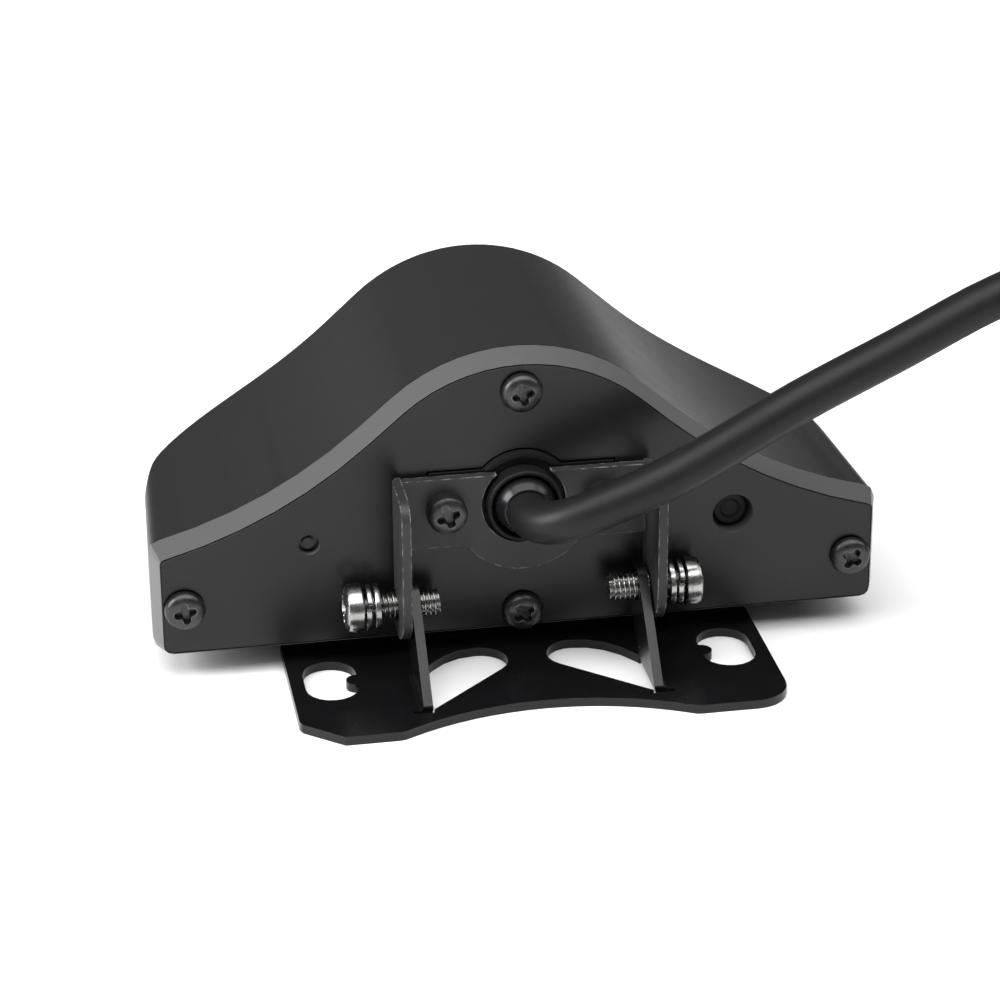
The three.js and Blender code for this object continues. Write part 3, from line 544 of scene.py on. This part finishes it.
def coil_route():
    """Outer turn on the floor, inner turn, inner turn on top, outer turn on top, then to the plug."""
    clearance = 0.05 * MM
    inner = COIL_MIDDLE - CABLE - clearance
    outer = COIL_MIDDLE + CABLE + clearance
    beside = 41.5 * MM
    plug_radius = COIL.x - PLUG.x
    low = CABLE
    high = 3 * CABLE
    landing = 0.6 * MM
    joins_coil = (90, 150)        # these are stretches in degrees round the coil
    goes_in = (450, 495)
    climbs = (765, 810)
    goes_out = (1075, 1130)
    leaves = (1185, 1260)
    route = []
    for degrees in range(90, 1261, 15):
        radius = beside + (outer - beside) * eased(degrees, *joins_coil)
        radius += (inner - outer) * eased(degrees, *goes_in)
        radius += (outer - inner) * eased(degrees, *goes_out)
        radius += (plug_radius - outer) * eased(degrees, *leaves)
        height = low + (high - low) * eased(degrees, *climbs)
        height += (PLUG.z - high) * eased(degrees, *leaves)
        height += landing * (1 - eased(degrees, *joins_coil))
        turn = math.radians(degrees)
        route.append(Vector((COIL.x + radius * math.cos(turn), COIL.y + radius * math.sin(turn), height)))
    return route


def add_cord():
    points = lead_route() + coil_route() + [PLUG + Vector((0, -1.2 * MM, 0))]
    line = through(points, 4)
    mesh = tube(line, CABLE)
    cord = bpy.data.objects.new("camera_cable", mesh)
    bpy.context.scene.collection.objects.link(cord)
    mesh.materials.append(materials["cable_jacket"])
    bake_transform(cord)
    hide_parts("cable_lead", "cable_coil")


# ---- housing --------------------------------------------------------------------------------
def bell_top(x, inset=0.0):
    """Height of the bell profile above the underside at x, with the outline moved inwards."""
    x = abs(x)
    crest_z = CREST_HEIGHT - CREST_RADIUS
    crest = CREST_RADIUS - inset
    sin, cos = math.sin(SLOPE_ANGLE), math.cos(SLOPE_ANGLE)
    if x <= crest * sin:
        return crest_z + math.sqrt(crest * crest - x * x)
    foot_x = crest * sin + SLOPE_LENGTH * cos
    if x <= foot_x:
        return crest_z + crest * cos - (x - crest * sin) * sin / cos
    sweep_x = CREST_RADIUS * sin + SLOPE_LENGTH * cos + WING_RADIUS * sin
    sweep_z = crest_z + CREST_RADIUS * cos - SLOPE_LENGTH * sin + WING_RADIUS * cos
    radius = WING_RADIUS + inset
    top = sweep_z - math.sqrt(radius * radius - (sweep_x - x) ** 2)
    side = HALF_WIDTH - inset
    corner = max(1.5 * MM - inset / 2, 0.4 * MM)
    if x > side - corner:
        out = (x - (side - corner)) / corner
        top -= corner * (1 - math.sqrt(max(0, 1 - out * out)))
    return top


def bell_bottom(x, inset=0.0):
    """Height of the bell's flat bottom above the underside at x, with its corners rounded."""
    side = HALF_WIDTH - inset
    corner = max(2.4 * MM - inset, 0.4 * MM)
    out = max(0, abs(x) - (side - corner))
    return inset + corner - math.sqrt(max(0, corner * corner - out * out))


def columns(inset):
    """Places across the bell, close together where it turns its corners."""
    side = HALF_WIDTH - inset
    wide = [i * side / 36 for i in range(36) if i * side / 36 < side - 2.6 * MM]
    near = [side - 2.4 * MM * (1 - math.sin(QUARTER * i / 8)) for i in range(9)]
    half = wide + near
    return [-x for x in reversed(half[1:])] + half


def bell_block(inset, rear, front, bottom=None, taper=0.0):
    """A solid bell from `rear` forwards to front(x), its sides drawn in by `taper` for each metre."""
    shape = bmesh.new()
    rows = []
    for x in columns(inset):
        top = UNDERSIDE + bell_top(x, inset)
        low = UNDERSIDE + (bell_bottom(x, inset) if bottom is None else bottom)
        far_x = x
        for _ in range(8 if taper else 0):      # settles where the side meets the front edge
            far_x = x * (1 - taper * (rear - front(far_x)) / HALF_WIDTH)
        far_y = front(far_x)
        corners = ((x, rear, low), (x, rear, top), (far_x, far_y, top), (far_x, far_y, low))
        rows.append([shape.verts.new(corner) for corner in corners])
    for a, b in zip(rows, rows[1:]):
        for i in range(4):
            j = (i + 1) % 4
            shape.faces.new((a[i], a[j], b[j], b[i]))
    shape.faces.new(rows[0])
    shape.faces.new(rows[-1][::-1])
    return finished(shape, "bell")


def swept(x):
    """How far the hood reaches forwards of the rear face at x."""
    return HOOD_DEPTH - HOOD_SWEEP * (x / HALF_WIDTH) ** 6


def hood_end():
    """The rounded end of the hood's front edge, as (x, reach) steps."""
    start = [(x, swept(x)) for x in (44 * MM, 46 * MM)]
    corner = [(x * MM, reach * MM) for x, reach in HOOD_CORNER]
    line = through([Vector((x, reach, 0)) for x, reach in start + corner], 10)
    return [(p.x, p.y) for p in line[10:]]


HOOD_END = hood_end()


def hood_front(x):
    """Y of the hood's front edge at x."""
    x = abs(x)
    if x <= HOOD_END[0][0]:
        return BACK - swept(x)
    for (x0, reach0), (x1, reach1) in zip(HOOD_END, HOOD_END[1:]):
        if x <= x1:
            return BACK - reach0 - (reach1 - reach0) * (x - x0) / (x1 - x0)
    return BACK - HOOD_END[-1][1]


def add_housing():
    seam = 0.2 * MM
    beyond = 1 * MM
    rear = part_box("main_housing")[1].y
    mesh = bell_block(0, rear + seam, hood_front, taper=HOOD_TAPER)
    under_hood = bell_block(WALL, FACE, lambda x: BACK - 60 * MM, bottom=-9 * MM)
    inside = bell_block(WALL, rear + beyond, lambda x: FACE + FRONT_WALL)
    window = bell_block(WINDOW_INSET, FACE + WINDOW_SEAT, lambda x: FACE - beyond)
    for hollow in (under_hood, inside, window):
        mesh = cut(mesh, hollow)
    lens_hole = [(0, -3), (LENS_HOLE, -3), (LENS_HOLE, 3), (0, 3)]
    mesh = cut(mesh, lathe(lens_hole, (0, FACE + 2 * MM, LENS_HEIGHT), (0, -1, 0), 48))
    for sign in (-1, 1):
        slot_mesh = prism(light_slot(sign), -4 * MM, 4 * MM)
        place = Matrix.Translation((0, FACE + 2 * MM, LIGHTS_HEIGHT))
        slot_mesh.transform(place @ Matrix.Rotation(QUARTER, 4, "X"))
        mesh = cut(mesh, slot_mesh)
    new_piece("hood_and_body", rounded(mesh, 0.35 * MM, segments=3), "camera", "hood_paint", "main_housing")


def light_slot(sign):
    """Outline of the slot that one row of infrared lights looks out of."""
    radius = LIGHT_SLOT["half_height"]
    low = LIGHT_SLOT["inner"] + radius
    high = LIGHT_SLOT["outer"] - radius
    right = arc(high, 0, radius, -QUARTER, QUARTER, 10)
    left = arc(low, 0, radius, QUARTER, 3 * QUARTER, 10)
    return [(sign * x, y) for x, y in right + left]


# ---- screws ---------------------------------------------------------------------------------
# In mm. A head is (radius, height) pairs above its seat; the recess has a reach and a depth.
COVER_SCREW = {
    "head": [(2.65, 0), (2.8, 0.25), (2.8, 0.85), (2.6, 1.35), (2.2, 1.65), (1.5, 1.83), (0, 1.9)],
    "reach": 1.75, "depth": 1.3, "length": 12, "radius": 1.45, "pitch": 0.5,
}
BRACKET_SCREW = {
    "head": [(2.7, 0), (2.8, 0.2), (2.8, 1.75), (2.65, 2.2), (2.2, 2.5), (1.4, 2.66), (0, 2.7)],
    "reach": 1.85, "depth": 1.3, "length": 7.6, "radius": 1.45, "pitch": 0.5,
}
CLAMP_SCREW = {
    "head": [(3.3, 0), (3.4, 0.2), (3.4, 1.5), (3.2, 2.05), (2.7, 2.4), (1.8, 2.57), (0, 2.6)],
    "reach": 2.2, "depth": 1.4, "length": 10.8, "radius": 1.95, "pitch": 0.7,
}
COVER_SCREWS = [                  # name, x, height above the underside, turn of the recess
    ("top", 0, 36.8, 0.25), ("bottom", 0, 3.65, 0.6), ("left", 47.4, 8, 0.2), ("right", -47.4, 8, 0.95),
]
BRACKET_SCREW_X = 11
BRACKET_FACE = 2.05               # seat of its heads, behind the rear cover
COVER_SEAT = -0.1                 # seat of the cover screws' heads, behind the rear cover


def cross_cutter(reach, depth, top):
    """A cross recess: four round-ended arms that narrow towards the bottom."""
    half = reach * 0.34
    fillet = half * 0.45
    narrowing = 0.78
    above = 0.5
    outline = []
    for quarter in range(4):
        turn = quarter * QUARTER
        tip = arc(reach - half, 0, half, -QUARTER * 0.8, QUARTER * 0.8, 4)
        inner = arc(half + fillet, half + fillet, fillet, -QUARTER, -2 * QUARTER, 3)
        for x, y in tip + inner:
            outline.append((MM * (x * math.cos(turn) - y * math.sin(turn)),
                            MM * (x * math.sin(turn) + y * math.cos(turn))))
    return prism(outline, (top - depth) * MM, (top + above) * MM, narrowing)


def thread(radius, pitch, low, high):
    """A screw thread along +Z from `low` to `high`, in mm: a ridge that climbs one pitch a turn."""
    sides = 32
    per_pitch = 10
    depth = pitch * 0.55
    point = 0.35
    count = max(2, int(round((high - low) / pitch * per_pitch)))
    shape = bmesh.new()
    rings = []
    for i in range(count + 1):
        z = low + (high - low) * i / count
        ring = []
        for k in range(sides):
            turn = 2 * math.pi * k / sides
            phase = ((z / pitch) - k / sides) % 1.0
            ridge = 1 - abs(2 * phase - 1)
            taper = min(1, (z - low) / pitch)
            r = radius - depth * (1 - min(1, ridge * 1.25)) - point * (1 - taper)
            ring.append(shape.verts.new((r * MM * math.cos(turn), r * MM * math.sin(turn), z * MM)))
        rings.append(ring)
    bridge(shape, rings)
    close_ends(shape, rings)
    mesh = finished(shape, "thread")
    smooth_faces(mesh, 50)
    return mesh


def screw(node, direction, place, turn, size):
    """A screw for the CAD node, its head's seat at `place` and its recess turned by `turn`."""
    head = size["head"]
    top = max(height for _, height in head)
    cap = lathe([(0, 0)] + head, (0, 0, 0), (0, 0, 1), 56)
    cap = rounded(cut(cap, cross_cutter(size["reach"], size["depth"], top)), 0.07 * MM)
    shank = thread(size["radius"], size["pitch"], -size["length"], -0.02)
    mesh = joined(cap, shank)
    mesh.transform(Matrix.Translation(place) @ pointing(direction) @ Matrix.Rotation(turn, 4, "Z"))
    new_piece(f"{node}_fine", mesh, body_of[node], slot_of[node], node)


def add_screws():
    rearwards = (0, 1, 0)
    for where, x, z, turn in COVER_SCREWS:
        place = Vector((x * MM, BACK + COVER_SEAT * MM, UNDERSIDE + z * MM))
        screw(f"cover_screw_{where}", rearwards, place, turn, COVER_SCREW)
    for where, sign, turn in (("left", 1, 0.35), ("right", -1, 0.8)):
        place = Vector((sign * BRACKET_SCREW_X * MM, BACK + BRACKET_FACE * MM, GLAND.z))
        screw(f"bracket_screw_{where}", rearwards, place, turn, BRACKET_SCREW)
    head_height = CLAMP_SCREW["head"][-1][1] * MM
    for where, sign in (("left", 1), ("right", -1)):
        low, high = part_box(f"clamp_screw_{where}")
        seat = (high.x - head_height) if sign > 0 else (low.x + head_height)
        screw(f"clamp_screw_{where}", (sign, 0, 0), Vector((seat, HINGE.y, HINGE.z)), 0.4, CLAMP_SCREW)
        add_spring_washer(f"spring_washer_{where}")
        refine(f"flat_washer_{where}", 0.1 * MM)


def add_spring_washer(node):
    """One turn of square wire whose two ends stand slightly apart."""
    bore, rim = 2.3, 3.2
    half_thickness = 0.36
    spread = 0.28
    gap = 0.16
    steps = 60
    low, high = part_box(node)
    middle = (low.x + high.x) / 2
    shape = bmesh.new()
    rings = []
    for i in range(steps + 1):
        turn = 0.5 + (4 * QUARTER - gap) * i / steps
        lift = (i / steps - 0.5) * spread
        ring = []
        for radius, side in ((bore, -1), (rim, -1), (rim, 1), (bore, 1)):
            ring.append(shape.verts.new((middle + (lift + side * half_thickness) * MM,
                                         HINGE.y + radius * MM * math.cos(turn),
                                         HINGE.z + radius * MM * math.sin(turn))))
        rings.append(ring)
    bridge(shape, rings)
    close_ends(shape, rings)
    mesh = rounded(finished(shape, "spring_washer"), 0.1 * MM)
    new_piece(f"{node}_fine", mesh, body_of[node], slot_of[node], node)


# ---- gland, connector, lens and lights ------------------------------------------------------
def add_gland():
    dome = [(0, -7.4), (2.2, -7.4), (2.2, -4), (3.9, -4), (3.9, 0.2), (4.3, 0.6), (4.3, 2.3), (4.2, 2.9),
            (3.98, 3.5), (3.68, 4.0), (3.36, 4.35), (3.2, 4.6), (0, 4.6)]
    mesh = rounded(lathe(dome, GLAND, (0, 1, 0), 64), 0.12 * MM)
    new_piece("gland_dome", mesh, "camera", "gland_plastic", "strain_relief")
    collar = [(4.65, 0.45), (5.3, 0.45), (5.3, 2.9), (5.1, 3.1), (4.75, 3.1), (4.65, 2.9), (4.65, 0.45)]
    mesh = rounded(lathe(collar, GLAND, (0, 1, 0), 64), 0.1 * MM)
    new_piece("gland_ring", mesh, "camera", "gasket_rubber", "gland_collar")


def add_connector():
    """The cable's boot, shell, coupling ring and pins; distances are from the boot's rear end."""
    ahead = (0, -1, 0)
    boot = [(0, 0), (3.5, 0)]
    ribs = 6
    rib_pitch = 1.75
    rib_growth = 0.26
    for i in range(ribs):
        base = 0.6 + i * rib_pitch
        wide = 3.75 + i * rib_growth
        boot += [(wide, base), (wide, base + 1.1), (wide - 0.35, base + 1.2), (wide - 0.3, base + 1.65)]
    boot += [(5.2, 11.2), (5.2, 14), (0, 14)]
    mesh = rounded(lathe(boot, PLUG, ahead, 48), 0.12 * MM)
    new_piece("connector_boot_fine", mesh, "mount", "cable_jacket", "connector_boot")
    shell = [(0, 14.3), (5.9, 14.3), (6.1, 14.6), (6.1, 17), (5.9, 17.2), (5.9, 18), (6.1, 18.2), (6.1, 24),
             (5.3, 24.2), (5.3, 37.2), (4.6, 37.2), (4.6, 26.5), (0, 26.5)]
    mesh = rounded(lathe(shell, PLUG, ahead, 64), 0.1 * MM)
    new_piece("connector_shell_fine", mesh, "mount", "connector_nickel", "connector_shell")
    add_coupling_ring()
    insert = rounded(lathe([(0, 26.8), (4.3, 26.8), (4.3, 31.5), (0, 31.5)], PLUG, ahead, 48), 0.15 * MM)
    pins = []
    pin_circle = 2 * MM
    for i in range(4):
        turn = (i + 0.5) * QUARTER
        place = PLUG + Vector((pin_circle * math.cos(turn), 0, pin_circle * math.sin(turn)))
        pins.append(rounded(lathe([(0, 31), (0.5, 31), (0.5, 35.6), (0.3, 36), (0, 36)], place, ahead, 16),
                            0.08 * MM))
    mesh = joined(insert, *pins)
    new_piece("connector_insert_fine", mesh, "mount", "connector_black", "connector_insert")


def add_coupling_ring():
    """A ring with straight knurling between two plain bands."""
    sides = 144
    ridges = 36
    ridge_height = 0.22
    bands = [                     # distance along, radius, whether it is knurled
        (24.5, 6.95, 0), (24.8, 7.2, 0), (25.9, 7.2, 0), (26.1, 7.15, 1), (33.9, 7.15, 1), (34.1, 7.2, 0),
        (35.6, 7.2, 0), (35.9, 6.95, 0), (35.9, 5.65, 0), (24.5, 5.65, 0),
    ]
    shape = bmesh.new()
    rings = []
    for along, radius, knurled in bands:
        ring = []
        for k in range(sides):
            turn = 2 * math.pi * k / sides
            crest = 0.5 + 0.5 * math.cos(turn * ridges)
            r = (radius + knurled * ridge_height * crest) * MM
            ring.append(shape.verts.new((r * math.cos(turn), r * math.sin(turn), along * MM)))
        rings.append(ring)
    bridge(shape, rings + rings[:1])
    mesh = finished(shape, "coupling_ring")
    mesh.transform(Matrix.Translation(PLUG) @ pointing((0, -1, 0)))
    smooth_faces(mesh, 30)
    new_piece("coupling_ring_fine", mesh, "plug_ring", "connector_nickel", "coupling_ring")


def dome_profile(radius, rise, base, steps):
    """(radius, height) pairs from a dome's rim nearly to its top, which stands `rise` above `base`."""
    angles = [i * QUARTER / steps for i in range(steps, 0, -1)]
    return [(radius * math.sin(angle), base + rise * math.cos(angle)) for angle in angles]


def add_lens():
    behind_window = 0.45 * MM
    barrel_length = 7.2 * MM
    tail = FACE + WINDOW_SEAT + behind_window + barrel_length
    place = Vector((0, tail, LENS_HEIGHT))
    ahead = (0, -1, 0)
    barrel = [(4.3, -0.2), (6.1, -0.2), (6.1, 6.6), (7.2, 6.7), (7.2, 7.2), (5.6, 7.2), (5.4, 6.9),
              (5.1, 6.7), (5.1, 6.3), (4.75, 6.1), (4.75, 5.7), (4.3, 5.2), (4.3, -0.2)]
    mesh = rounded(lathe(barrel, place, ahead, 72), 0.1 * MM)
    new_piece("lens_barrel_fine", mesh, "camera", "lens_black", "lens_barrel")
    front = [(0, 5.1), (4.0, 5.6)] + dome_profile(4.0, 1.15, 5.75, 10) + [(0, 6.9)]
    mesh = rounded(lathe(front, place, ahead, 64), 0.05 * MM)
    new_piece("lens_front_fine", mesh, "camera", "lens_glass", "lens_front_element")
    rear = [(0, 1.1), (3.9, 1.6), (3.9, 3.1), (0, 3.6)]
    mesh = rounded(lathe(rear, place, ahead, 48), 0.05 * MM)
    new_piece("lens_rear_fine", mesh, "camera", "lens_glass", "lens_rear_element")


def add_lights():
    board_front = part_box("ir_board_left")[0].y
    gap = 0.3 * MM
    led = [(0, 0), (2.5, 0), (2.5, 0.8), (2.2, 0.9)] + dome_profile(2.2, 2.2, 2.7, 8) + [(0, 4.9)]
    sensor = [(radius * 0.7, height) for radius, height in led]
    for node in sorted(frame["nodes"]):
        if not (node.startswith("ir_led") or node == "light_sensor"):
            continue
        low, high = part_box(node)
        middle = (low + high) / 2
        place = Vector((middle.x, board_front - gap, middle.z))
        profile = sensor if node == "light_sensor" else led
        mesh = rounded(lathe(profile, place, (0, -1, 0), 32), 0.06 * MM)
        new_piece(f"{node}_fine", mesh, "camera", "led_epoxy", node)


def add_board_parts():
    """Small chips and resistors on the boards, placed by a seeded draw."""
    draw = random.Random(7)
    thickness = 0.5 * MM
    lens_mount = 5 * MM
    for node in ("sensor_board", "ir_board_left", "ir_board_right"):
        low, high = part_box(node)
        shape = bmesh.new()
        for _ in range(12):
            wide = draw.choice((1.0, 1.6, 2.4)) * MM
            tall = draw.choice((0.5, 0.8, 1.6)) * MM
            x = draw.uniform(low.x + 2 * MM, high.x - 2 * MM)
            z = draw.uniform(low.z + 1.5 * MM, high.z - 1.5 * MM)
            if abs(x) < lens_mount and node == "sensor_board":
                continue
            place = Matrix.Translation((x, high.y + thickness / 2, z))
            size = Matrix.Diagonal((wide, thickness, tall, 1))
            bmesh.ops.create_cube(shape, size=1, matrix=place @ size)
        mesh = rounded(finished(shape, "components", outwards=False), 0.06 * MM)
        new_piece(f"{node}_components", mesh, "camera", "chip")


def refine_the_rest():
    widths = {
        "rear_cover": 0.22, "swivel_bracket": 0.16, "mounting_base": 0.16, "bracket_gasket": 0.16,
        "front_bezel": 0.2, "front_window": 0.2, "vent_plug": 0.12, "gland_nut": 0.2, "lens_holder": 0.3,
        "lens_lock_ring": 0.15, "sensor_board": 0.1, "ir_board_left": 0.1, "ir_board_right": 0.1,
        "image_sensor": 0.1, "board_socket": 0.2,
    }
    for node, width in widths.items():
        refine(node, width * MM)


# ---- the scene ------------------------------------------------------------------------------
body_of = {node: body for body, nodes in frame["record"]["behaviour"]["bodies"].items() for node in nodes}
slot_of = {part["node"]: part["material_slot"] for part in frame["record"]["subparts"]}
materials = make_materials()

for node_name, node_object in frame["nodes"].items():
    node_object.data.materials.clear()
    node_object.data.materials.append(materials[slot_of[node_name]])

add_camera()
add_studio()
add_floor()
add_gland()
add_connector()
add_cord()
add_housing()
refine_the_rest()
add_screws()
add_lens()
add_lights()
add_board_parts()

bpy.context.view_layer.update()
